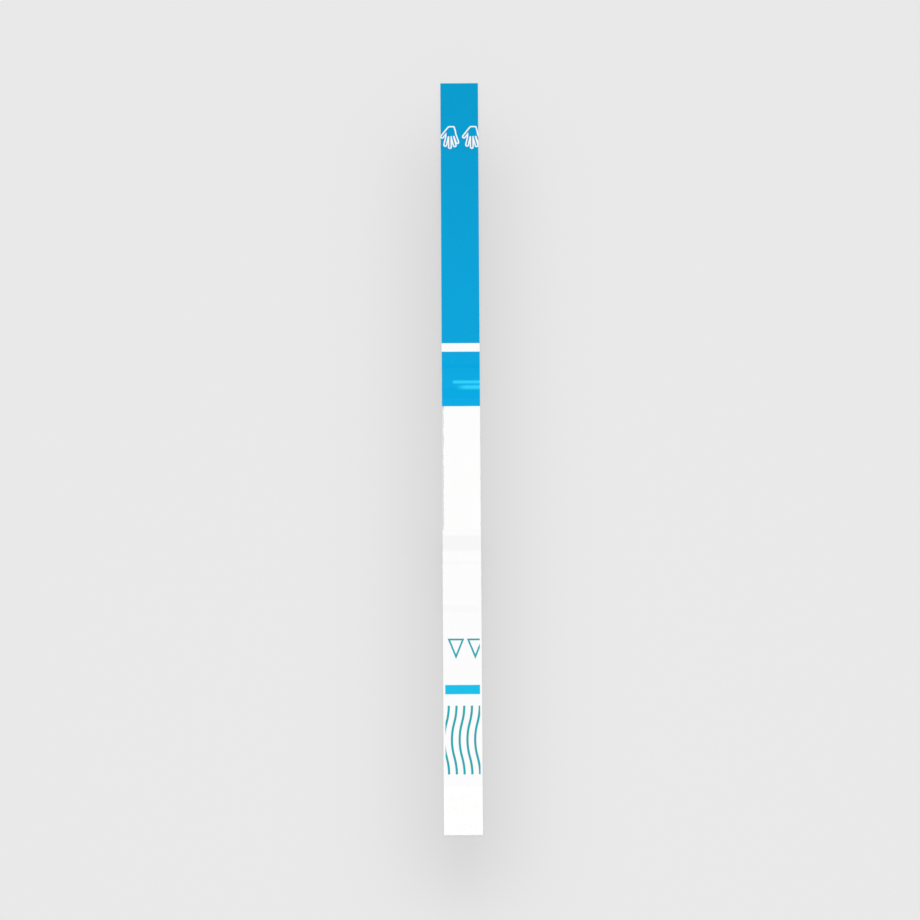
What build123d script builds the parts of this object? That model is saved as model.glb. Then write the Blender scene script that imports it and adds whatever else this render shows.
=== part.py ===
from build123d import *

import os
from math import asin, atan2, cos, degrees, hypot, radians, sin, tan

# Lateral flow test strip: pads and a membrane shingled along an adhesive-coated card, each one
# lapped over the end of the last so that liquid wicks from the dip end to the handle end, then
# covered with two printed tapes. The master card is laid up wide and slit, so every layer is
# flush at both long edges. Millimetres and degrees.
#
# The origin is the middle of the card's underside. +Y points to the handle end, +X to the right
# and +Z out of the printed face. Stations along the strip are counted from the handle end.

# Backing card and its adhesive
strip_width = 5.0
card_thickness = 0.30
adhesive_thickness = 0.05

# Nitrocellulose membrane, cast on its own film
membrane_length = 25.0
membrane_thickness = 0.22

# Absorbent pad, the wick at the handle end, pressed thinner where it laps the membrane
absorbent_length = 41.1
absorbent_thickness = 0.80
absorbent_lap = 2.1
absorbent_squeeze = 0.08

# Conjugate pad, lapped over the membrane's lower end
conjugate_length = 8.0
conjugate_thickness = 0.35
conjugate_lap = 2.1

# Sample pad, lapped over the conjugate pad and running out to the dip end
sample_length = 36.8
sample_thickness = 0.45
sample_setback = 1.3

# How a pad drapes off the edge of the layer below: its slope, the radius of its underside at the
# brow, and the radius that is left on the outermost pad's top face at the foot
pad_slope = 18.0
pad_brow_radius = 1.0
pad_foot_radius = 0.60

# Cover tapes
tape_thickness = 0.08
tape_bend_radius = 0.60
handle_tape_slope = 26.0
handle_tape_foot = 0.88
dip_tape_foot = 0.70
dip_end_bare = 6.3

# Ink films on the tapes
ink_thickness = 0.02

# Two fields of ink on the handle tape, with a bare stripe between them
upper_field_length = 35.4
bare_stripe = 1.15

# Hand outlines left bare in the upper field, repeated across the master card
hand_inset = 5.6
hand_height = 3.45
hand_line = 0.19
finger_slot = 0.16
hand_pitch = 2.90
hand_offset = -1.20
hand_count = 2

# Marks of the dip tape, which stop short of the slit edges
mark_margin = 0.25
wave_inset = 1.5
wave_length = 8.9
wave_line = 0.28
wave_swing = 0.62
wave_pitch = 1.0
wave_offset = -1.8
wave_count = 5
bar_gap = 1.5
bar_height = 1.2
arrow_gap = 3.4
arrow_height = 2.65
arrow_width = 2.15
arrow_line = 0.22
arrow_pitch = 2.5
arrow_offset = -0.83
arrow_count = 2

# One overrun for every cutter
overrun = 1.0

# A hand seen from its back, pointing to the dip end, in shares of its height: across to the
# right, then down from the top of the wrist. Thumb and fingers have such a place for each end.
palm_shares = [
    (-0.045, 0.135), (0.12, 0.135), (0.16, 0.27), (0.195, 0.47), (-0.15, 0.49), (-0.15, 0.31),
]
digit_shares = [
    (-0.055, 0.165, -0.32, 0.505),
    (-0.12, 0.47, -0.20, 0.83),
    (-0.02, 0.48, -0.02, 0.915),
    (0.07, 0.48, 0.165, 0.85),
    (0.17, 0.44, 0.265, 0.725),
]

# The share of a slope that its two bends may take up
bend_share = 0.98

# Stations along the strip
membrane_start = absorbent_length - absorbent_lap
membrane_end = membrane_start + membrane_length
conjugate_start = membrane_end - conjugate_lap
conjugate_end = conjugate_start + conjugate_length
sample_start = conjugate_start + sample_setback
strip_length = sample_start + sample_length
dip_tape_end = strip_length - dip_end_bare

# Heights of the faces that the layers lie on
adhesive_top = card_thickness + adhesive_thickness
membrane_top = adhesive_top + membrane_thickness
conjugate_top = membrane_top + conjugate_thickness
sample_top = conjugate_top + sample_thickness


# Side view of the layers: a path is a list of corners, each a station, a height and a radius

def drape(edge, high, low, away, slope, brow_radius, foot_radius):
    """The two bends of a layer that leaves an edge of what it lies on and comes down beside it.

    The brow starts level at the edge, so that the layer clears the corner. away is 1 where the
    layer comes down towards the dip end, and -1 where it does so towards the handle end.
    """
    slope = radians(slope)
    room = bend_share * (high - low) / (1 - cos(slope))
    fit = min(1, room / (brow_radius + foot_radius))
    brow = edge + away * fit * brow_radius * tan(slope / 2)
    foot = brow + away * (high - low) / tan(slope)
    bends = [(brow, high, fit * brow_radius), (foot, low, fit * foot_radius)]
    return bends[::away]


def raised(path, gap):
    """The path that runs parallel to another, a gap above it, with its arcs on the same centres."""
    lifted = []
    for i, (station, height, radius) in enumerate(path):
        if i in (0, len(path) - 1):
            lifted.append((station, height + gap, radius))
            continue
        (s0, z0, _), (s1, z1, _) = path[i - 1], path[i + 1]
        into = atan2(height - z0, station - s0)
        out = atan2(z1 - height, s1 - station)
        lean = (into + out) / 2
        mitre = gap / cos((out - into) / 2)
        inwards = gap if out > into else -gap
        lifted.append((station - mitre * sin(lean), height + mitre * cos(lean), radius - inwards))
    return lifted


def level(start, end, height):
    """A straight path along the strip."""
    return [(start, height, 0), (end, height, 0)]


def layer(lower, upper):
    """A layer between two paths, carried across the whole width of the strip."""
    outline = lower + upper[::-1]
    points = [(strip_length / 2 - station, height) for station, height, _ in outline]
    radii = [radius for _, _, radius in outline]
    side = make_face(FilletPolyline(*points, radius=radii, close=True))
    return extrude(Plane.YZ * side, amount=strip_width / 2, both=True)


# Backing card and adhesive

card_face = level(0, strip_length, card_thickness)
backing_card = layer(level(0, strip_length, 0), card_face)
adhesive_coat = layer(card_face, level(0, strip_length, adhesive_top))


# Membrane

nitrocellulose_membrane = layer(
    level(membrane_start, membrane_end, adhesive_top),
    level(membrane_start, membrane_end, membrane_top),
)


# Absorbent pad: it climbs onto the membrane's upper end

pad_layers = conjugate_thickness + sample_thickness
pad_bends = (pad_slope, pad_brow_radius, pad_foot_radius + pad_layers)
absorbent_flat_top = adhesive_top + absorbent_thickness
absorbent_lap_top = membrane_top + absorbent_thickness - absorbent_squeeze
absorbent_climb = drape(membrane_start, membrane_top, adhesive_top, -1, *pad_bends)
absorbent_under = [
    (0, adhesive_top, 0),
    *absorbent_climb,
    (absorbent_length, membrane_top, 0),
]
(foot, _, foot_radius), (brow, _, brow_radius) = absorbent_climb
absorbent_over = [
    (0, absorbent_flat_top, 0),
    (foot, absorbent_flat_top, foot_radius),
    (brow, absorbent_lap_top, brow_radius),
    (absorbent_length, absorbent_lap_top, 0),
]
absorbent_pad = layer(absorbent_under, absorbent_over)


# Conjugate pad: it lies on the membrane's lower end and drapes down to the adhesive

conjugate_under = [
    (conjugate_start, membrane_top, 0),
    *drape(membrane_end, membrane_top, adhesive_top, 1, *pad_bends),
    (conjugate_end, adhesive_top, 0),
]
conjugate_over = raised(conjugate_under, conjugate_thickness)
conjugate_pad = layer(conjugate_under, conjugate_over)


# Sample pad: it follows the conjugate pad's top, drapes off its end and runs to the dip end

sample_bends = (pad_slope, pad_brow_radius, pad_foot_radius + sample_thickness)
sample_under = [
    (sample_start, conjugate_top, 0),
    *conjugate_over[1:-1],
    *drape(conjugate_end, adhesive_top + conjugate_thickness, adhesive_top, 1, *sample_bends),
    (strip_length, adhesive_top, 0),
]
sample_over = raised(sample_under, sample_thickness)
sample_pad = layer(sample_under, sample_over)


# Handle tape: over the absorbent pad, down past its cut end, and stuck to the membrane

def foot_reach(slope):
    """How far a tape's foot bend runs on past its corner."""
    return tape_bend_radius * tan(radians(slope) / 2)


tape_bends = (tape_bend_radius, tape_bend_radius)
handle_descent = drape(
    absorbent_length, absorbent_lap_top, membrane_top, 1, handle_tape_slope, *tape_bends
)
handle_tape_end = handle_descent[-1][0] + foot_reach(handle_tape_slope) + handle_tape_foot
handle_under = [*absorbent_over[:-1], *handle_descent, (handle_tape_end, membrane_top, 0)]
handle_over = raised(handle_under, tape_thickness)
handle_tape = layer(handle_under, handle_over)


# Dip tape: stuck to the membrane, stretched over the edges of both pads, and down the sample pad

def taut_slope(corner, rest):
    """Slope of a tape that bears on one corner and has bent level when it reaches the next."""
    run = rest[0] - corner[0]
    rise = rest[1] - tape_bend_radius - corner[1]
    return degrees(atan2(rise, run) + asin(tape_bend_radius / hypot(run, rise)))


dip_slope = taut_slope((conjugate_start, conjugate_top), (sample_start, sample_top))
dip_ascent = drape(sample_start, sample_top, membrane_top, -1, dip_slope, *tape_bends)
dip_tape_start = dip_ascent[0][0] - foot_reach(dip_slope) - dip_tape_foot
dip_under = [
    (dip_tape_start, membrane_top, 0),
    *dip_ascent,
    *sample_over[1:-1],
    (dip_tape_end, adhesive_top + sample_thickness, 0),
]
dip_over = raised(dip_under, tape_thickness)
dip_tape = layer(dip_under, dip_over)


# Ink films: each follows its tape's top face, and is cut to its marks as seen from above

handle_ink = layer(handle_over, raised(handle_over, ink_thickness))
dip_ink = layer(dip_over, raised(dip_over, ink_thickness))
above_all = max(absorbent_lap_top, sample_top) + tape_thickness + ink_thickness + overrun


def printed(ink, marks):
    """The part of an ink film that lies over flat marks."""
    return ink & extrude(marks, amount=above_all)


def band(start, end, width):
    """A plain band across the strip between two stations."""
    middle = strip_length / 2 - (start + end) / 2
    return Pos(0, middle) * Rectangle(width, end - start)


def repeated(mark, station, first, pitch, count):
    """A mark repeated across the strip, its local origin at a station."""
    places = [Pos(first + i * pitch, strip_length / 2 - station) for i in range(count)]
    return Sketch() + [place * mark for place in places]


# Handle print: two fields, with the hands left out of the upper one

def digit(share, width):
    """A finger or thumb as a round-ended bar between two places of the hand."""
    x0, down0, x1, down1 = (value * hand_height for value in share)
    across, down = x1 - x0, down1 - down0
    bar = SlotCenterToCenter(hypot(across, down), width)
    return Pos((x0 + x1) / 2, -(down0 + down1) / 2) * Rot(0, 0, degrees(atan2(-down, across))) * bar


def hand_outline():
    """The line round a hand and between its fingers, with the wrist at the local origin."""
    palm = Polygon(*[(x * hand_height, -down * hand_height) for x, down in palm_shares], align=None)
    finger_width = finger_slot + 2 * hand_line
    whole = offset(palm, hand_line) + [digit(share, finger_width) for share in digit_shares]
    return whole - palm - [digit(share, finger_slot) for share in digit_shares]


hands = repeated(hand_outline(), hand_inset, hand_offset, hand_pitch, hand_count)
upper_field = band(0, upper_field_length, strip_width) - hands
lower_field = band(upper_field_length + bare_stripe, handle_tape_end, strip_width)
handle_print_upper = printed(handle_ink, upper_field)
handle_print_lower = printed(handle_ink, lower_field)


# Dip print, from the dip end up: waves, a solid fill line and triangles

wave_end = dip_tape_end - wave_inset
wave_start = wave_end - wave_length
bar_end = wave_start - bar_gap
bar_start = bar_end - bar_height
arrow_end = bar_start - arrow_gap
arrow_start = arrow_end - arrow_height
mark_zone = band(arrow_start - overrun, dip_tape_end, strip_width - 2 * mark_margin)
down_strip = (0, -1)


def wave():
    """A line that swings once to the left and back, in three arcs that meet on a tangent."""
    quarter = wave_length / 4
    turn = 2 * degrees(atan2(wave_swing / 2, quarter))
    radius = quarter / sin(radians(turn))
    leave = JernArc((0, 0), down_strip, radius, -turn)
    swing = JernArc(leave @ 1, leave % 1, radius, 2 * turn)
    back = JernArc(swing @ 1, swing % 1, radius, -turn)
    return trace(leave + swing + back, wave_line)


def arrow():
    """The outline of a triangle that points to the dip end, its apex at the local origin."""
    top_corners = [(arrow_width / 2, arrow_height), (-arrow_width / 2, arrow_height)]
    outer = Polygon((0, 0), *top_corners, align=None)
    return outer - offset(outer, -arrow_line, kind=Kind.INTERSECTION)


waves = repeated(wave(), wave_start, wave_offset, wave_pitch, wave_count)
arrows = repeated(arrow(), arrow_end, arrow_offset, arrow_pitch, arrow_count)
wave_print = printed(dip_ink, waves & mark_zone)
fill_line_print = printed(dip_ink, band(bar_start, bar_end, strip_width) & mark_zone)
arrow_print = printed(dip_ink, arrows & mark_zone)


# One file for each piece

nodes = {
    "backing_card": backing_card,
    "adhesive_coat": adhesive_coat,
    "nitrocellulose_membrane": nitrocellulose_membrane,
    "absorbent_pad": absorbent_pad,
    "conjugate_pad": conjugate_pad,
    "sample_pad": sample_pad,
    "handle_tape": handle_tape,
    "dip_tape": dip_tape,
    "handle_print_upper": handle_print_upper,
    "handle_print_lower": handle_print_lower,
    "arrow_print": arrow_print,
    "fill_line_print": fill_line_print,
    "wave_print": wave_print,
}

os.makedirs("parts", exist_ok=True)
for name, node in nodes.items():
    node.label = name
    export_step(node, f"parts/{name}.step")
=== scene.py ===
from math import asin, atan, atan2, cos, hypot, pi, radians, sin, tan

import bpy
import numpy as np
from mathutils import Matrix, Vector


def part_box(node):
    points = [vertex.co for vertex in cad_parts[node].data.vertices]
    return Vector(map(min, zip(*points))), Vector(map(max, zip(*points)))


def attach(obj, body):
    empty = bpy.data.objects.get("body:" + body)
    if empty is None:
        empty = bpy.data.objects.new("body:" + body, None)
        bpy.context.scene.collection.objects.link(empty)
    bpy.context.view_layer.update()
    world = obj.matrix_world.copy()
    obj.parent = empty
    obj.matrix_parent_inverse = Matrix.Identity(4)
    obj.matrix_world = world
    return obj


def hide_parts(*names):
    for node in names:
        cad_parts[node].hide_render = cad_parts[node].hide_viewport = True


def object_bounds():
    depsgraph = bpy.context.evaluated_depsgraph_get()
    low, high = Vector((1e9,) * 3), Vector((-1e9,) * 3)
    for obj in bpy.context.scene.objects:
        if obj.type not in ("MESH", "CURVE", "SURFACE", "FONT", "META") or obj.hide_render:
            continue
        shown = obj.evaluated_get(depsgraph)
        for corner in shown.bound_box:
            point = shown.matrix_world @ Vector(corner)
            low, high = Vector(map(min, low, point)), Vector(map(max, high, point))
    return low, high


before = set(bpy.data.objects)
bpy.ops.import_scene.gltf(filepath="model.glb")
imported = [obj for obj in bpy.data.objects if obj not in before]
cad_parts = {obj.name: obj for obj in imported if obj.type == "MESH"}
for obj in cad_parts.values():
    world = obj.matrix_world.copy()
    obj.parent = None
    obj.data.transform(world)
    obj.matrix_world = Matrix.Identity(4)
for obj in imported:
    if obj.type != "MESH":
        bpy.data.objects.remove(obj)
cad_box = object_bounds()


# Backing card: stiff white polystyrene sheet, calendered matt, that carries every layer. The
# strip is sheared from a wide laid-up card, which leaves fine upright marks on its long edges.

MM = 0.001
noise_detail = 2.0


class Wire:
    """A node's output. Arithmetic on it adds Math nodes, and node() adds any other node."""

    def __init__(self, tree, socket=None):
        self.tree = tree
        self.socket = socket

    def node(self, kind, settings=None, inputs=None, output=0):
        """Adds a node: its type, its settings, and the values or links of its sockets."""
        made = self.tree.nodes.new("ShaderNode" + kind)
        for name, value in (settings or {}).items():
            setattr(made, name, value)
        for name, value in (inputs or {}).items():
            feed(self.tree, made.inputs[name], value)
        return Wire(self.tree, made.outputs[output])

    def math(self, operation, first, second=0.0):
        """Adds a Math node on one or two values."""
        return self.node("Math", {"operation": operation}, {0: first, 1: second})

    def __add__(self, other):
        return self.math("ADD", self, other)

    def __sub__(self, other):
        return self.math("SUBTRACT", self, other)

    def __rsub__(self, other):
        return self.math("SUBTRACT", other, self)

    def __mul__(self, other):
        return self.math("MULTIPLY", self, other)

    def __rtruediv__(self, other):
        return self.math("DIVIDE", other, self)

    __radd__ = __add__
    __rmul__ = __mul__


def feed(tree, socket, value):
    """Gives a socket a value, or a link from a wire. A colour gets its alpha."""
    if isinstance(value, Wire):
        tree.links.new(value.socket, socket)
    elif socket.type == "RGBA" and len(value) == 3:
        socket.default_value = (*value, 1.0)
    else:
        socket.default_value = value


def noise(place, cell, turn=0.0):
    """Noise from 0 to 1 whose cells have a size in millimetres along each axis, turned about Z."""
    size = [side * MM for side in cell]
    where = place.node(
        "Mapping",
        {"vector_type": "TEXTURE"},
        {"Vector": place, "Rotation": (0, 0, turn), "Scale": size},
    )
    sockets = {"Vector": where, "Scale": 1.0, "Detail": noise_detail}
    return where.node("TexNoise", inputs=sockets)


def rise(value, low, high):
    """A smooth step from 0 where the value is low to 1 where it is high."""
    ends = {"Value": value, "From Min": low, "From Max": high}
    return value.node("MapRange", {"interpolation_type": "SMOOTHSTEP"}, ends)


def mingle(first, second, share):
    """A share of the first value, and the rest of the second."""
    return first * share + second * (1 - share)


def blend(share, low, high):
    """A colour that goes from low to high as the share goes from 0 to 1."""
    colours = {"Factor": share, "A": low, "B": high}
    return share.node("Mix", {"data_type": "RGBA"}, colours, "Result")


def finish(name, colour, roughness, relief=None, depth=0.0, specular=0.5):
    """A finish: its colour and roughness, numbers or functions of a place in the strip's own
    coordinates, and a relief from 0 to 1 that is so many millimetres deep."""
    material = bpy.data.materials.new(name)
    material.use_nodes = True
    tree = material.node_tree
    shader = tree.nodes["Principled BSDF"]
    shader.inputs["Specular IOR Level"].default_value = specular
    place = Wire(tree).node("TexCoord", output="Object")
    feed(tree, shader.inputs["Base Color"], colour(place))
    feed(tree, shader.inputs["Roughness"], roughness(place) if callable(roughness) else roughness)
    if relief:
        bumps = place.node("Bump", inputs={"Height": relief(place), "Distance": depth * MM})
        feed(tree, shader.inputs["Normal"], bumps)
    return material


def dress(node, material):
    """Gives a CAD piece its finish."""
    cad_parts[node].material_slots[0].material = material


card_white = (0.905, 0.905, 0.90)
card_shade = (0.865, 0.865, 0.86)
card_cloud = (2.5, 6.0, 2.5)
card_grain = (0.11, 0.11, 0.11)
shear_mark = (0.045, 0.045, 1.2)


def card_colour(place):
    """Pale shear marks over slow clouds."""
    marks = rise(noise(place, shear_mark), low=0.35, high=0.7)
    return blend(mingle(marks, noise(place, card_cloud), share=0.4), card_shade, card_white)


def card_relief(place):
    """Shear marks over a fine grain."""
    return mingle(noise(place, shear_mark), noise(place, card_grain), share=0.6)


card_plastic = finish(
    "card_plastic", card_colour, roughness=0.48, relief=card_relief, depth=0.004
)
dress("backing_card", card_plastic)


# Adhesive coat: acrylic pressure-sensitive adhesive, laid on the card under every layer. It shows
# as a glossy cream hairline at the edges, and on the card in the small hollows beside the pads.

adhesive_cream = (0.80, 0.785, 0.735)
adhesive_pale = (0.88, 0.87, 0.83)
adhesive_patch = (0.7, 0.7, 0.2)
adhesive_ripple = (0.35, 0.35, 0.02)


def adhesive_colour(place):
    """Cream and paler patches."""
    return blend(noise(place, adhesive_patch), adhesive_cream, adhesive_pale)


def adhesive_relief(place):
    """Shallow ripples, as the coat flowed out."""
    return noise(place, adhesive_ripple)


adhesive = finish(
    "adhesive", adhesive_colour, roughness=0.2, relief=adhesive_relief, depth=0.004
)
dress("adhesive_coat", adhesive)


# Membrane: nitrocellulose cast on clear polyester film. Its cast face is matt and microporous,
# with faint lines along the casting. It is brittle: the blade breaks it away in a ragged margin,
# wider on the left, and bares the greyish film, which also shows in the slit edge.

membrane_low, membrane_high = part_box("nitrocellulose_membrane")
membrane_span = (membrane_low[1], membrane_high[1])
half_width = (cad_box[1][0] - cad_box[0][0]) / 2
support_thickness = 0.1 * MM
support_top = membrane_low[2] + support_thickness
support_blur = 0.01 * MM
left_margin = 0.19 * MM
right_margin = -0.02 * MM
ragged = 0.035 * MM
sharp_angle = radians(40)


def lattice(y_span, under, over, cells):
    """Points of a layer: even steps across the strip, along it, and up between two paths."""
    x = np.linspace(-half_width, half_width, cells[0] + 1)[:, None, None]
    y = np.linspace(*y_span, cells[1] + 1)[None, :, None]
    t = np.linspace(0, 1, cells[2] + 1)[None, None, :]
    z = under(y) * (1 - t) + over(y) * t
    return np.stack(np.broadcast_arrays(x, y, z), axis=-1)


def shell(points):
    """A lattice's outside: quads over the first and last layer of points on each axis."""
    shape = points.shape[:3]
    index = np.arange(np.prod(shape)).reshape(shape)
    quads = []
    for side in range(3):
        for end in (0, -1):
            face = np.take(index, end, side)
            ring = [face[:-1, :-1], face[1:, :-1], face[1:, 1:], face[:-1, 1:]]
            if (side == 1) == (end == -1):
                ring.reverse()
            quads.append(np.stack(ring, axis=-1).reshape(-1, 4))
    return points.reshape(-1, 3), np.concatenate(quads)


def uneven(rng, shape, passes=2):
    """A random field with a deviation of 1: noise that is averaged with its neighbours, which
    count half as much as the point itself."""
    field = rng.standard_normal(shape)
    for _ in range(passes):
        for side in range(field.ndim):
            field = (np.roll(field, 1, side) + 2 * field + np.roll(field, -1, side)) / 4
    return field / field.std()


def break_edges(rng, points):
    """Draws a lattice in from its slit edges: each point moves by the left margin times its share
    of the way from the right edge, and back by the right margin times the rest. A margin is a
    random field about its own size, and is nowhere less than nothing."""
    fields = [uneven(rng, points.shape[1:3]) for _ in range(2)]
    left = np.maximum(left_margin + ragged * fields[0], 0)
    right = np.maximum(right_margin + ragged * fields[1], 0)
    share = (points[..., 0] + half_width) / (2 * half_width)
    points[..., 0] += left * (1 - share) - right * share


def piece(name, node, slot, material, *surfaces):
    """A piece of the strip, made of surfaces, in place of its CAD node. Points that no quad of a
    surface uses are left out, and edges are smooth up to a sharp angle."""
    points = []
    quads = []
    for where, faces in surfaces:
        used, faces = np.unique(faces, return_inverse=True)
        quads.append(faces.reshape(-1, 4) + sum(map(len, points)))
        points.append(where[used])
    mesh = bpy.data.meshes.new(name)
    mesh.from_pydata(np.concatenate(points), [], np.concatenate(quads))
    mesh.polygons.foreach_set("use_smooth", np.ones(len(mesh.polygons), bool))
    mesh.set_sharp_from_angle(angle=sharp_angle)
    mesh.materials.append(material)
    made = bpy.data.objects.new(name, mesh)
    bpy.context.collection.objects.link(made)
    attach(made, "root")
    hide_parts(node)


cast_white = (0.951, 0.951, 0.948)
cast_shade = (0.921, 0.921, 0.918)
support_grey = (0.635, 0.655, 0.67)
cast_roughness = 0.87
support_roughness = 0.15
casting_line = (0.55, 16.0, 16.0)
pore_speck = (0.06, 0.06, 0.06)
pore = (0.04, 0.04, 0.04)


def axis(place, name):
    """One coordinate of a place."""
    return place.node("SeparateXYZ", inputs={"Vector": place}, output=name)


def cast_layer(place):
    """1 in the cast layer, and 0 in the film under it."""
    return rise(axis(place, "Z"), support_top, support_top + support_blur)


def membrane_colour(place):
    """Casting lines and fine specks on the cast layer, and grey in the film."""
    grain = mingle(noise(place, casting_line), noise(place, pore_speck), share=0.6)
    return blend(cast_layer(place), support_grey, blend(grain, cast_shade, cast_white))


def membrane_roughness(place):
    """Matt in the cast layer, and glossy in the film."""
    return cast_layer(place) * (cast_roughness - support_roughness) + support_roughness


def membrane_relief(place):
    """Pores, with a little of the casting lines."""
    return mingle(noise(place, pore), noise(place, casting_line), share=0.7)


nitrocellulose = finish(
    "nitrocellulose", membrane_colour, membrane_roughness, membrane_relief, depth=0.003
)
support_film = lattice(
    membrane_span, lambda y: membrane_low[2], lambda y: support_top, cells=(1, 1, 1)
)
cast_face = lattice(
    membrane_span, lambda y: support_top, lambda y: membrane_high[2], cells=(20, 250, 3)
)
break_edges(np.random.default_rng(seed=5), cast_face)
piece(
    "membrane_cast_on_film", "nitrocellulose_membrane", "nitrocellulose", nitrocellulose,
    shell(support_film), shell(cast_face),
)


# Absorbent pad: thick white cotton blotter, the wick at the handle end, pressed where it climbs
# onto the membrane. The blade leaves its slit edges fibrous, with short ends of lint.

absorbent_low, absorbent_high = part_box("absorbent_pad")
conjugate_low, conjugate_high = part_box("conjugate_pad")
sample_low, sample_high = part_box("sample_pad")
adhesive_top = absorbent_low[2]
membrane_top = membrane_high[2]
membrane_thickness = membrane_top - adhesive_top
absorbent_thickness = 0.8 * MM
conjugate_thickness = conjugate_high[2] - membrane_top
sample_thickness = sample_high[2] - conjugate_high[2]

pad_slope = radians(18)
pad_brow = 1.0 * MM
pad_foot = 0.6 * MM
inner_pad_foot = pad_foot + conjugate_thickness + sample_thickness


def fall(distance, drop, slope, brow, foot):
    """How far a layer has come down, so far past the edge that it drapes off.

    It is an arc of the brow radius from the edge, a straight slope, an arc of the foot radius,
    and level beyond. A path raised by a gap has a brow larger and a foot smaller by that gap.
    """
    brow_end = brow * sin(slope)
    foot_start = brow_end + (drop - (brow + foot) * (1 - cos(slope))) / tan(slope)
    foot_end = foot_start + foot * sin(slope)
    on_brow = brow - np.sqrt(brow**2 - np.clip(distance, 0, brow_end) ** 2)
    on_slope = (np.clip(distance, brow_end, foot_start) - brow_end) * tan(slope)
    from_end = foot_end - np.clip(distance, foot_start, foot_end)
    on_foot = np.sqrt(foot**2 - from_end**2) - foot * cos(slope)
    return on_brow + on_slope + on_foot


def absorbent_under(y):
    """The pad's underside: on the membrane, then down past its upper end to the adhesive."""
    past = y - membrane_high[1]
    return membrane_top - fall(past, membrane_thickness, pad_slope, pad_brow, inner_pad_foot)


# The top bends at the stations of the underside's corners, but comes down less
corner_brow = membrane_high[1] + pad_brow * tan(pad_slope / 2)
corner_run = membrane_thickness / tan(pad_slope)
lap_rise = absorbent_high[2] - (adhesive_top + absorbent_thickness)
lap_slope = atan(lap_rise / corner_run)
lap_edge = corner_brow - pad_brow * tan(lap_slope / 2)


def absorbent_over(y, gap=0.0):
    """The pad's top, or a path a gap above it: level, then down by the rise of the lap."""
    bends = (lap_slope, pad_brow + gap, inner_pad_foot - gap)
    return absorbent_high[2] + gap - fall(y - lap_edge, lap_rise, *bends)


def fray(rng, points, amount):
    """Moves the cut faces of a lattice, its two slit edges and its two ends, in and out by a
    random field times an amount."""
    for face, sign in ((points[0, :, :, 0], -1), (points[-1, :, :, 0], 1)):
        face += sign * amount * uneven(rng, face.shape)
    for face, sign in ((points[:, 0, :, 1], -1), (points[:, -1, :, 1], 1)):
        face += sign * amount * uneven(rng, face.shape)


fibre_stations = 7
fibre_curl = 0.2
tip_share = 0.05
bluntness = 6
upward = (0, 0, 1.0)

# A tube's ring is laid out against a direction along which hardly any fibre runs
askew = (0.3, 0.2, 1.0)


def fibres(rng, starts, ends, radius):
    """Fibres as thin tubes. Each runs from its start to its end and bows aside by a sine, by up
    to its curl times its length. A diamond ring is carried along it. The ring's radius goes as
    the root of just over 1 less a high power of the way from the middle, so both tips are thin."""
    t = np.linspace(0, 1, fibre_stations)[:, None]
    run = (ends - starts)[:, None]
    curl = rng.uniform(-fibre_curl, fibre_curl, (len(starts), 1, 1))
    path = starts[:, None] + run * t + np.cross(run, upward) * curl * np.sin(pi * t)
    ahead = np.gradient(path, axis=1)
    ahead /= np.linalg.norm(ahead, axis=-1, keepdims=True)
    beside = np.cross(ahead, askew)
    beside /= np.linalg.norm(beside, axis=-1, keepdims=True)
    above = np.cross(ahead, beside)
    spokes = np.stack([beside, above, -beside, -above], axis=2)
    thickness = radius * np.sqrt(1 + tip_share - (2 * t - 1) ** bluntness)[..., None]
    points = path[:, :, None] + spokes * thickness
    index = np.arange(points[..., 0].size).reshape(points.shape[:3])
    start, end = index[:, :-1], index[:, 1:]
    walls = [start, np.roll(start, -1, 2), np.roll(end, -1, 2), end]
    tips = [index[:, 0, ::-1], index[:, -1]]
    quads = [np.stack(walls, axis=-1).reshape(-1, 4), *tips]
    return points.reshape(-1, 3), np.concatenate(quads)


# Lint at a slit edge: where it may start and end in the pad's thickness, the shortest of it, and
# how far it stands out, all as shares
start_margin = 0.08
end_margin = 0.05
shortest_lint = 0.4
stand_out = 0.08


def slit_fibres(rng, y_span, under, over, count, length, radius):
    """Ends of fibre that lie along both slit edges of a pad and stand out of them a little: each
    starts in an edge, between the pad's faces, and heads any way along it, held within the pad."""
    side = rng.choice([-1.0, 1.0], count)
    y = rng.uniform(*y_span, count)
    t = rng.uniform(start_margin, 1 - start_margin, count)
    z = under(y) * (1 - t) + over(y) * t
    reach = length * rng.uniform(shortest_lint, 1.0, count)
    heading = rng.uniform(0, 2 * pi, count)
    far_y = np.clip(y + np.cos(heading) * reach, *y_span)
    middle = (over(far_y) + under(far_y)) / 2
    room = (0.5 - end_margin) * (over(far_y) - under(far_y))
    far_z = np.clip(z + np.sin(heading) * reach, middle - room, middle + room)
    out = half_width + rng.uniform(0.0, stand_out, count) * reach
    starts = np.stack([side * (half_width - radius / 2), y, z], axis=-1)
    ends = np.stack([side * out, far_y, far_z], axis=-1)
    return fibres(rng, starts, ends, radius)


strand_length = 14
strand_turns = (0.3, 1.2, 2.1, 2.8)


def higher(first, second):
    """The higher of two values."""
    return first.math("MAXIMUM", first, second)


def mat(place, width):
    """Crossed fibres of a width: the highest of four fields of long cells that run four ways."""
    cell = (width, strand_length * width, width)
    first, second, third, fourth = [noise(place, cell, turn) for turn in strand_turns]
    return higher(higher(first, second), higher(third, fourth))


cotton_width = 0.07
cotton_strand = (0.935, 0.93, 0.915)
cotton_gap = (0.84, 0.835, 0.815)
cotton_pressed = (0.90, 0.895, 0.88)
cotton_patch = (1.1, 1.1, 0.5)


def absorbent_colour(place):
    """Pale strands over darker gaps, with patches where they are pressed smooth."""
    strands = rise(mat(place, cotton_width), low=0.4, high=0.75)
    pressed = rise(noise(place, cotton_patch), low=0.3, high=0.75)
    return blend(pressed, blend(strands, cotton_gap, cotton_strand), cotton_pressed)


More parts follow.
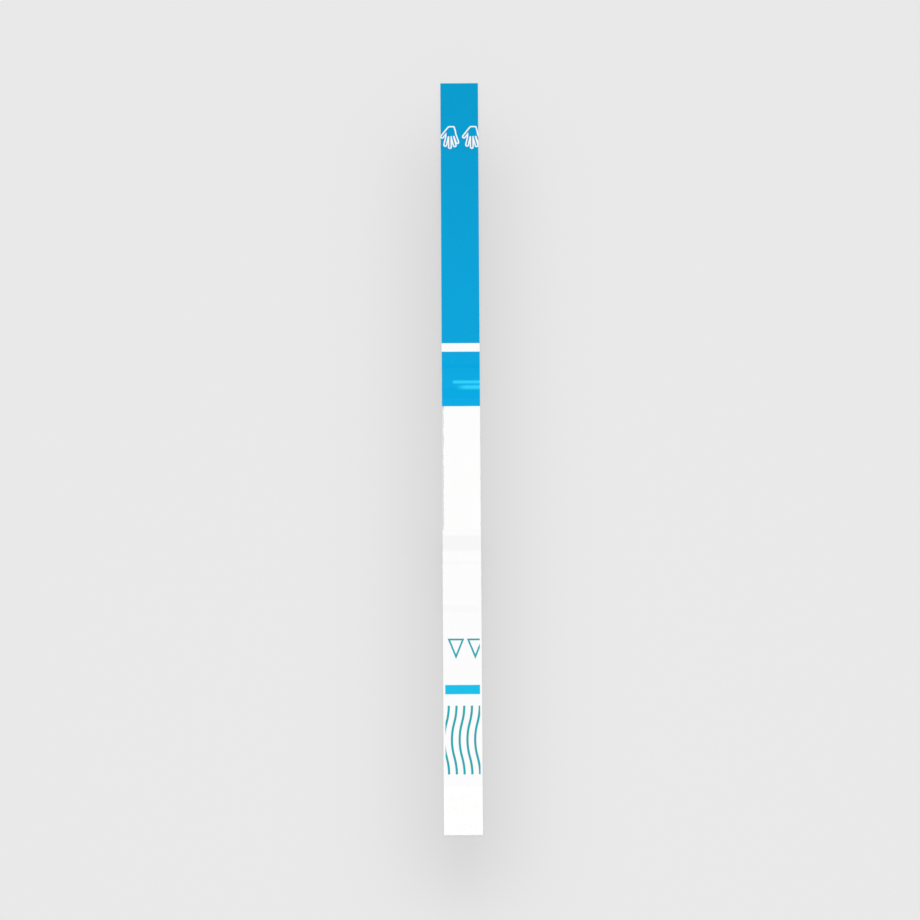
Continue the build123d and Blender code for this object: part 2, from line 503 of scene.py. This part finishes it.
absorbent_fibre = finish(
    "absorbent_fibre", absorbent_colour, roughness=0.95,
    relief=lambda place: mat(place, cotton_width), depth=0.02, specular=0.2,
)
rng = np.random.default_rng(seed=11)
absorbent_span = (absorbent_low[1], absorbent_high[1])
absorbent_body = lattice(absorbent_span, absorbent_under, absorbent_over, cells=(20, 400, 8))
fray(rng, absorbent_body, amount=0.008 * MM)
absorbent_lint = slit_fibres(
    rng, absorbent_span, absorbent_under, absorbent_over,
    count=700, length=0.5 * MM, radius=0.008 * MM,
)
piece(
    "absorbent_pad_blotter", "absorbent_pad", "absorbent_fibre", absorbent_fibre,
    shell(absorbent_body), absorbent_lint,
)


# Conjugate pad: thin glass fibre mat with a dusty red reagent dried into it. It lies on the
# membrane's lower end and drapes down to the adhesive, and shows only at the slit edges.

def conjugate_over(y, gap=0.0):
    """The pad's top, or a path a gap above it: level, then down past the membrane's end."""
    bends = (pad_slope, pad_brow + conjugate_thickness + gap, pad_foot + sample_thickness - gap)
    return conjugate_high[2] + gap - fall(membrane_low[1] - y, membrane_thickness, *bends)


def conjugate_under(y):
    """The pad's underside, its thickness below its top."""
    return conjugate_over(y, -conjugate_thickness)


glass_width = 0.05
bare_glass = (0.80, 0.58, 0.58)
pale_reagent = (0.70, 0.36, 0.38)
dark_reagent = (0.60, 0.24, 0.27)
dried_patch = (0.8, 1.4, 0.4)


def conjugate_colour(place):
    """Pale strands over the reagent, which dried in lighter and darker patches."""
    dried = rise(noise(place, dried_patch), low=0.3, high=0.7)
    strands = rise(mat(place, glass_width), low=0.45, high=0.8)
    return blend(strands, blend(dried, dark_reagent, pale_reagent), bare_glass)


conjugate_fibre = finish(
    "conjugate_fibre", conjugate_colour, roughness=0.9,
    relief=lambda place: mat(place, glass_width), depth=0.012, specular=0.3,
)
conjugate_span = (conjugate_low[1], conjugate_high[1])
conjugate_body = lattice(conjugate_span, conjugate_under, conjugate_over, cells=(20, 100, 4))
fray(rng, conjugate_body, amount=0.006 * MM)
conjugate_lint = slit_fibres(
    rng, conjugate_span, conjugate_under, conjugate_over,
    count=120, length=0.35 * MM, radius=0.005 * MM,
)
piece(
    "conjugate_pad_mat", "conjugate_pad", "conjugate_fibre", conjugate_fibre,
    shell(conjugate_body), conjugate_lint,
)


# Sample pad: soft white cellulose felt. It laps the conjugate pad, drapes off its end and runs
# out bare at the dip end, where loose fibres lie on its top face.

def sample_over(y, gap=0.0):
    """The pad's top, or a path a gap above it: on the conjugate pad, then down past its end."""
    lift = sample_thickness + gap
    bends = (pad_slope, pad_brow + lift, pad_foot - gap)
    return conjugate_over(y, lift) - fall(conjugate_low[1] - y, conjugate_thickness, *bends)


def sample_under(y):
    """The pad's underside, its thickness below its top."""
    return sample_over(y, -sample_thickness)


# Loose fibres: half their length as a share of the longest, and how high each of their ends lies
# over the felt in radii
half_share = (0.25, 0.5)
end_height = (-0.2, 1.2)


def felt_fibres(rng, y_span, count, length, radius):
    """Loose fibres that lie at any angle on the sample pad's top face, partly sunk in it. Each
    runs the same way to both sides of its middle."""
    x = rng.uniform(-half_width + length / 2, half_width - length / 2, count)
    y = rng.uniform(y_span[0] + length / 2, y_span[1] - length / 2, count)
    heading = rng.uniform(0, 2 * pi, count)
    half = length * rng.uniform(*half_share, count)
    z = sample_over(y) + rng.uniform(*end_height, (2, count)) * radius
    run_x = np.cos(heading) * half
    run_y = np.sin(heading) * half
    starts = np.stack([x - run_x, y - run_y, z[0]], axis=-1)
    ends = np.stack([x + run_x, y + run_y, z[1]], axis=-1)
    return fibres(rng, starts, ends, radius)


cellulose_width = 0.09
cellulose_strand = (0.975, 0.975, 0.972)
cellulose_gap = (0.925, 0.925, 0.92)


def sample_colour(place):
    """White strands over slightly darker gaps."""
    strands = rise(mat(place, cellulose_width), low=0.35, high=0.75)
    return blend(strands, cellulose_gap, cellulose_strand)


sample_fibre = finish(
    "sample_fibre", sample_colour, roughness=0.95,
    relief=lambda place: mat(place, cellulose_width), depth=0.015, specular=0.2,
)
dip_tape_low, dip_tape_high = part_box("dip_tape")
sample_span = (sample_low[1], sample_high[1])
bare_span = (sample_low[1], dip_tape_low[1])
felt_height = 0.005 * MM
sample_body = lattice(sample_span, sample_under, sample_over, cells=(50, 370, 5))
fray(rng, sample_body, amount=0.007 * MM)
bare_rows = sample_body[0, :, 0, 1] < dip_tape_low[1]
bare_top = sample_body[:, bare_rows, -1, 2]
bare_felt = bare_top + felt_height * uneven(rng, bare_top.shape, passes=1)
sample_body[:, bare_rows, -1, 2] = bare_felt
sample_lint = slit_fibres(
    rng, sample_span, sample_under, sample_over,
    count=450, length=0.45 * MM, radius=0.007 * MM,
)
bare_lint = felt_fibres(rng, bare_span, count=420, length=0.9 * MM, radius=0.006 * MM)
piece(
    "sample_pad_felt", "sample_pad", "sample_fibre", sample_fibre,
    shell(sample_body), sample_lint, bare_lint,
)


# Handle tape: satin white film, rolled over the absorbent pad, down past its cut end and onto
# the membrane. At the fold over that end it has two low creases that run in from the right edge.

tape_bend = 0.6 * MM
tape_thickness = 0.08 * MM
handle_slope = radians(26)
handle_tape_low, handle_tape_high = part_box("handle_tape")


def handle_path(y, gap=0.0):
    """The tape's underside, or a path a gap above it: over the pad, and down past its end."""
    bends = (handle_slope, tape_bend + gap, tape_bend - gap)
    drop = absorbent_high[2] - membrane_top
    return absorbent_over(y, gap) - fall(absorbent_low[1] - y, drop, *bends)


# Each crease's station, its reach up and down the strip, and where it fades in across it
fold_creases = (
    (absorbent_low[1] + 0.45 * MM, 0.36 * MM, (-1.25 * MM, -0.82 * MM)),
    (absorbent_low[1] - 0.23 * MM, 0.45 * MM, (-0.90 * MM, 0.80 * MM)),
)
crease_height = 0.02 * MM


def smooth_step(value, low, high):
    """What rise() gives, on an array: 3 t squared less 2 t cubed, with t held from 0 to 1."""
    t = np.clip((value - low) / (high - low), 0, 1)
    return t * t * (3 - 2 * t)


def crease_lift(x, y):
    """How far the film stands up: a smooth ridge along each crease that fades in from its end."""
    ridges = [
        smooth_step(abs(y - station), reach, 0) * smooth_step(x, *ends)
        for station, reach, ends in fold_creases
    ]
    return crease_height * np.maximum(*ridges)


def film(name, node, slot, material, y_span, path, gaps, cells, lift=None):
    """A film or an ink field that lies between two gaps above a path, with a lift added."""
    body = lattice(y_span, lambda y: path(y, gaps[0]), lambda y: path(y, gaps[1]), (*cells, 1))
    if lift:
        body[..., 2] += lift(body[..., 0], body[..., 1])
    piece(name, node, slot, material, shell(body))


film_white = (0.915, 0.915, 0.915)
film_shade = (0.90, 0.90, 0.90)
film_cloud = (1.4, 2.5, 1.4)
film_dimple = (0.4, 0.4, 0.4)
film_swell = (1.1, 1.6, 1.1)
film_smear = (0.9, 3.0, 0.9)
satin_roughness = 0.34
matt_roughness = 0.50


def film_colour(place):
    """White with slow clouds."""
    return blend(noise(place, film_cloud), film_shade, film_white)


def film_roughness(place):
    """Satin with duller smears along the strip."""
    return noise(place, film_smear) * (matt_roughness - satin_roughness) + satin_roughness


def film_relief(place):
    """Small dimples and longer swells."""
    return mingle(noise(place, film_dimple), noise(place, film_swell), share=0.5)


white_film = finish(
    "white_film", film_colour, film_roughness, film_relief, depth=0.004, specular=0.3
)
film(
    "handle_tape_film", "handle_tape", "white_film", white_film,
    (handle_tape_low[1], handle_tape_high[1]), handle_path,
    gaps=(0.0, tape_thickness), cells=(40, 440), lift=crease_lift,
)


# Handle print: two fields of blue ink on the tape, the upper with the hand outlines left bare.
# Both are painted lighter down the strip, as painted light added to the lamp's own falloff. The
# lower field follows the tape's bends, and on the two creases a painted highlight shows as light
# streaks.

upper_low, upper_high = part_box("handle_print_upper")
lower_low, lower_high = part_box("handle_print_lower")
ink_thickness = 0.02 * MM
print_cloud = (0.9, 1.6, 0.9)
roller_mottle = (0.12, 0.12, 0.12)

# Each ink's colour at a field's upper end and at its lower end; the lower is lighter by painted
# light
upper_thick = ((0.0, 0.305, 0.575), (0.0, 0.340, 0.655))
upper_thin = ((0.0, 0.330, 0.610), (0.0, 0.365, 0.690))
lower_thick = ((0.0, 0.352, 0.685), (0.0, 0.378, 0.724))
lower_thin = ((0.0, 0.382, 0.731), (0.0, 0.408, 0.770))
# Light blue for a painted highlight on the creases
painted_crease_highlight = (0.030, 0.640, 0.960)


def ink(name, colour):
    """Printed ink: a colour, with the film's gloss patches and relief, and little shine."""
    return finish(name, colour, film_roughness, film_relief, depth=0.004, specular=0.04)


def ink_thinness(place):
    """Slow unevenness of a printed solid, with the fine mottle of the roller in it."""
    mottle = rise(noise(place, roller_mottle), low=0.3, high=0.7)
    return mingle(noise(place, print_cloud), mottle, share=0.5)


def upper_colour(place):
    """Thick and thin ink, both painted lighter towards the field's lower end, as painted light."""
    # Painted light: the ink is lighter towards the field's lower end
    down = rise(axis(place, "Y"), upper_high[1], upper_low[1])
    return blend(ink_thinness(place), blend(down, *upper_thick), blend(down, *upper_thin))


def creases(place):
    """Mask of the painted highlight: 1 on the tape's creases, 0 beside them, by their ridges'
    steps.
    """
    marks = []
    for station, reach, ends in fold_creases:
        off = axis(place, "Y") - station
        along = rise(off.math("ABSOLUTE", off), reach, 0.0)
        marks.append(along * rise(axis(place, "X"), *ends))
    return higher(*marks)


def lower_colour(place):
    """As in the upper field, with a painted highlight on the creases."""
    # Painted light: the ink is lighter towards the field's lower end
    down = rise(axis(place, "Y"), lower_high[1], lower_low[1])
    solid = blend(ink_thinness(place), blend(down, *lower_thick), blend(down, *lower_thin))
    return blend(creases(place), solid, painted_crease_highlight)


dress("handle_print_upper", ink("blue_ink", upper_colour))
film(
    "handle_print_lower_field", "handle_print_lower", "blue_ink",
    ink("blue_ink_lower", lower_colour), (lower_low[1], lower_high[1]), handle_path,
    gaps=(tape_thickness, tape_thickness + ink_thickness), cells=(40, 140), lift=crease_lift,
)


# Dip tape: the same film, stuck to the membrane below the window, stretched in one sweep over
# the edges of both pads, and pressed down onto the sample pad.

step_run = conjugate_high[1] - sample_high[1]
step_rise = sample_thickness - tape_bend
dip_slope = atan2(step_rise, step_run) + asin(tape_bend / hypot(step_run, step_rise))


def dip_path(y, gap=0.0):
    """The tape's underside, or a path a gap above it: up in one slope, then on the pad."""
    bends = (dip_slope, tape_bend + gap, tape_bend - gap)
    return sample_over(y, gap) - fall(y - sample_high[1], sample_high[2] - membrane_top, *bends)


film(
    "dip_tape_film", "dip_tape", "white_film", white_film,
    (dip_tape_low[1], dip_tape_high[1]), dip_path,
    gaps=(0.0, tape_thickness), cells=(20, 340),
)


# Dip print: triangles and waves in thin teal lines, and the fill line in solid light blue. They
# are printed on the wide tape, and are cut off where the margins of the strip fall.

teal_thick = (0.010, 0.34, 0.385)
teal_thin = (0.022, 0.40, 0.45)
light_blue_thick = (0.004, 0.485, 0.762)
light_blue_thin = (0.010, 0.519, 0.807)


def teal_colour(place):
    """Thick and thin teal ink."""
    return blend(ink_thinness(place), teal_thick, teal_thin)


def light_blue_colour(place):
    """Thick and thin light blue ink."""
    return blend(ink_thinness(place), light_blue_thick, light_blue_thin)


teal_ink = ink("teal_ink", teal_colour)
dress("arrow_print", teal_ink)
dress("wave_print", teal_ink)
dress("fill_line_print", ink("light_blue_ink", light_blue_colour))


# Floor: a plain pale sheet, seen at one even tone with a painted soft shadow of the strip on it,
# over the real shadow of its lit share, and lit as paper for every other ray. It lies just under
# the card, and a view from below looks through it.

floor_tone = 0.8047
floor_gap = 0.02 * MM
floor_reach = 3.0
lit_share = 0.3
underside_reach = 0.1 * MM

# The painted shadow across the strip is a wide and a narrow Gaussian. Along it, it starts and ends
# a little towards the dip end of the strip's own ends.
shadow_depth = 0.146
shadow_spread = 6.6 * MM
core_depth = 0.026
core_spread = 2.0 * MM
end_spread = 5.5 * MM
shadow_shift = 7.2 * MM
logistic_match = 1.702
black = (0, 0, 0)
white = (1, 1, 1)


def exponential(value):
    """e to the power of a value."""
    return value.math("EXPONENT", value)


def bell(value, spread):
    """1 at zero, and less away from it by a Gaussian of a spread."""
    return exponential(value * value * (-0.5 / spread**2))


def beyond(value, edge):
    """0 below an edge and 1 above it, by a logistic curve. It is steep enough to match the blur
    of a Gaussian of the end spread."""
    return 1 / (1 + exponential((value - edge) * (-logistic_match / end_spread)))


def light_path(tree, name):
    """One of the facts about the ray that meets the surface."""
    return Wire(tree).node("LightPath", output=name)


def seen(tree):
    """1 for a ray from the camera or from a glossy or clear surface, and 0 for any other."""
    mirrored = higher(light_path(tree, "Is Glossy Ray"), light_path(tree, "Is Transmission Ray"))
    return higher(light_path(tree, "Is Camera Ray"), mirrored)


floor_material = bpy.data.materials.new("pale_floor")
floor_material.use_nodes = True
floor_tree = floor_material.node_tree
floor_tree.nodes.clear()
ground = Wire(floor_tree).node("TexCoord", output="Object")
across = axis(ground, "X")
along = axis(ground, "Y")
low_end = cad_box[0][1] - shadow_shift
high_end = cad_box[1][1] - shadow_shift
depth = bell(across, shadow_spread) * shadow_depth + bell(across, core_spread) * core_depth
shadow = depth * beyond(along, low_end) * (1 - beyond(along, high_end))
tone = blend((1 - shadow) * floor_tone, black, white)
paper = ground.node("BsdfDiffuse", inputs={"Color": tone})
glow = ground.node("Emission", inputs={"Color": tone})
clear = ground.node("BsdfTransparent")
sheet = ground.node(
    "MixShader", inputs={0: seen(floor_tree) * (1 - lit_share), 1: paper, 2: glow}
)
ray_length = light_path(floor_tree, "Ray Length")
from_card = ray_length.math("LESS_THAN", ray_length, underside_reach)
from_below = ground.node("NewGeometry", output="Backfacing")
surface = ground.node(
    "MixShader", inputs={0: higher(from_below, from_card), 1: sheet, 2: clear}
)
output = floor_tree.nodes.new("ShaderNodeOutputMaterial")
feed(floor_tree, output.inputs["Surface"], surface)

corners = np.array([[-1, -1], [1, -1], [1, 1], [-1, 1]]) * floor_reach
floor_mesh = bpy.data.meshes.new("floor")
floor_mesh.from_pydata(np.column_stack([corners, np.full(4, -floor_gap)]), [], [range(4)])
floor_mesh.materials.append(floor_material)
floor = bpy.data.objects.new("floor", floor_mesh)
bpy.context.collection.objects.link(floor)


# Studio light: an even pale surround, and one large soft lamp almost overhead, a little towards
# the dip end, so that the slope that faces the handle end is the darker one.

surround = 0.78
lamp_level = 0.30
lamp_size = 0.4
lamp_place = Vector((0.0, -0.05, 0.60))

world = bpy.data.worlds.new("studio")
bpy.context.scene.world = world
world.use_nodes = True
sky = world.node_tree.nodes["Background"]
sky.inputs["Color"].default_value = (*white, 1)
strength = seen(world.node_tree) * (floor_tone - surround) + surround
feed(world.node_tree, sky.inputs["Strength"], strength)

# White paper at the strip would send back the lamp's level
lamp_light = bpy.data.lights.new("overhead", "AREA")
lamp_light.shape = "DISK"
lamp_light.size = lamp_size
lamp_light.energy = lamp_level * pi**2 * lamp_place.length_squared
lamp = bpy.data.objects.new("overhead", lamp_light)
lamp.location = lamp_place
lamp.rotation_euler = lamp_place.to_track_quat("Z", "Y").to_euler()
bpy.context.collection.objects.link(lamp)


# Camera: a long lens half a metre above the strip, tilted a little from the dip end and rolled by
# a third of a degree, as the strip's four corners in the photograph give it.

camera_distance = 0.52
camera_tilt = radians(10.75)
camera_roll = radians(-0.33)
camera_aim = Vector((-0.17 * MM, -0.80 * MM, 0))
focal_length = 155.3
sensor_width = 36

lens = bpy.data.cameras.new("camera")
lens.lens = focal_length
lens.sensor_width = sensor_width
camera = bpy.data.objects.new("camera", lens)
bpy.context.collection.objects.link(camera)
facing = Matrix.Rotation(camera_tilt, 4, "X") @ Matrix.Rotation(camera_roll, 4, "Z")
back = facing @ Vector((0, 0, camera_distance))
camera.matrix_world = Matrix.Translation(camera_aim + back) @ facing
bpy.context.scene.camera = camera
bpy.context.scene.view_settings.view_transform = "Standard"
